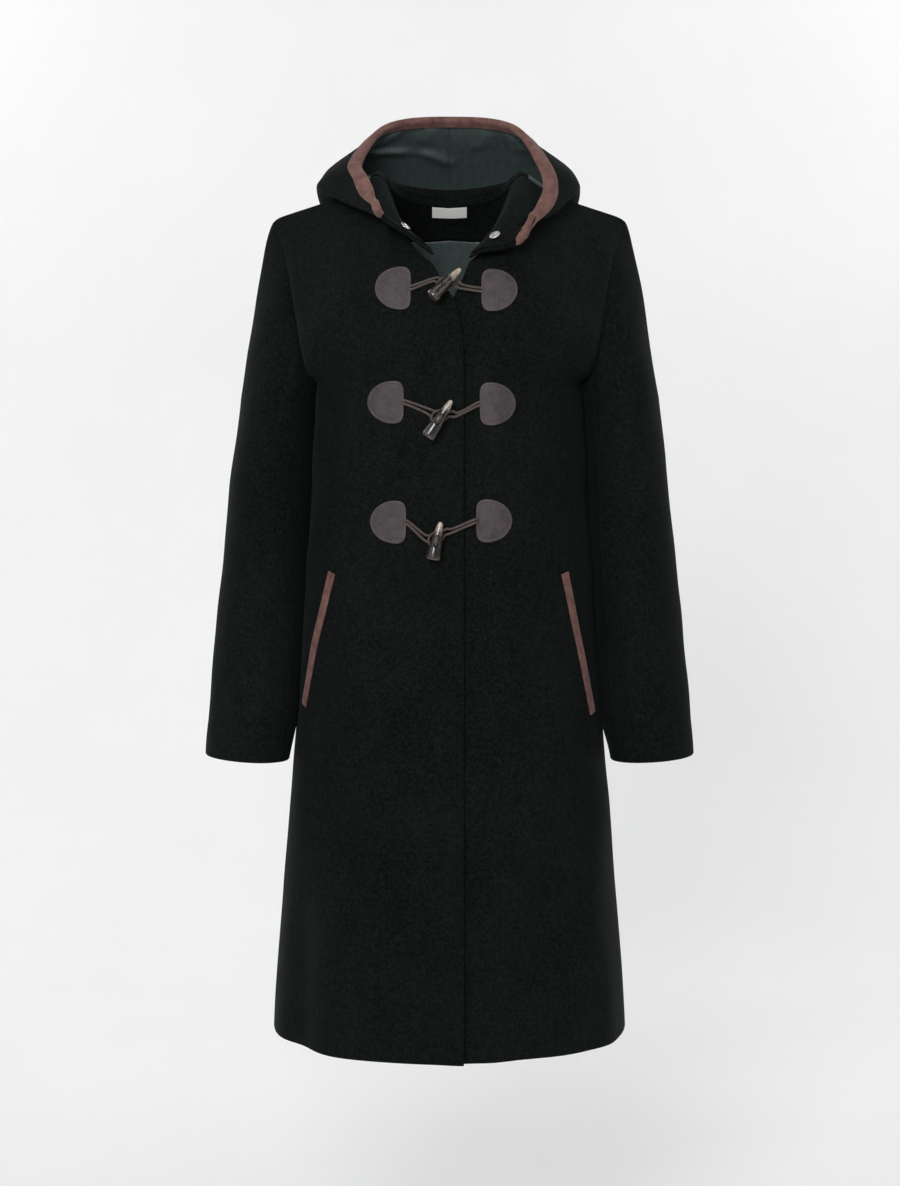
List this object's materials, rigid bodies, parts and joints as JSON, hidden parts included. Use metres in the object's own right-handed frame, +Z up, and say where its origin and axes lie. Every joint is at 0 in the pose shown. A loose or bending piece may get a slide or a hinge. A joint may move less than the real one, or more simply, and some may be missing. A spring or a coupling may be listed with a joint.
{
  "type": "duffle coat",
  "caption": "Knee-length hooded wool duffle coat, hollow as when worn, with horn toggles on leather patches, slanted pockets and a lined hood lying back.",
  "frame": {"origin": "centre of the base of the neck, where the coat is carried by the shoulders", "axes": "+Z up along the coat, from hem to neck; the front faces -Y; +X is the viewer's right, the wearer's left"},
  "size_m": [0.5632, 0.327, 1.0659],
  "materials": {
    "wool": "melton wool, matt with a short nap",
    "satin": "satin weave, soft sheen",
    "suede": "suede",
    "leather": "smooth, lightly glossy",
    "cord": "waxed cord, matt",
    "horn": "polished horn",
    "metal": "nickel, satin",
    "label": "woven tape"
  },
  "bodies": {
    "root": {"front_right": "wool", "front_left": "wool", "back": "wool", "upper_sleeve_right": "wool", "under_sleeve_right": "wool", "upper_sleeve_left": "wool", "under_sleeve_left": "wool", "hood_right": "wool", "hood_left": "wool", "hood_facing_right": "wool", "hood_facing_left": "wool", "hood_facing_back": "wool", "back_neck_facing": "wool", "hood_lining_right": "satin", "hood_lining_left": "satin", "back_lining": "satin", "hood_binding": "suede", "pocket_welt_right": "suede", "pocket_welt_left": "suede", "patch_top_right": "leather", "patch_top_left": "leather", "patch_middle_right": "leather", "patch_middle_left": "leather", "patch_bottom_right": "leather", "patch_bottom_left": "leather", "cord_top": "cord", "cord_middle": "cord", "cord_bottom": "cord", "loop_top": "cord", "loop_middle": "cord", "loop_bottom": "cord", "toggle_top": "horn", "toggle_middle": "horn", "toggle_bottom": "horn", "snap_right": "metal", "snap_left": "metal", "label": "label"}
  },
  "joints": []
}
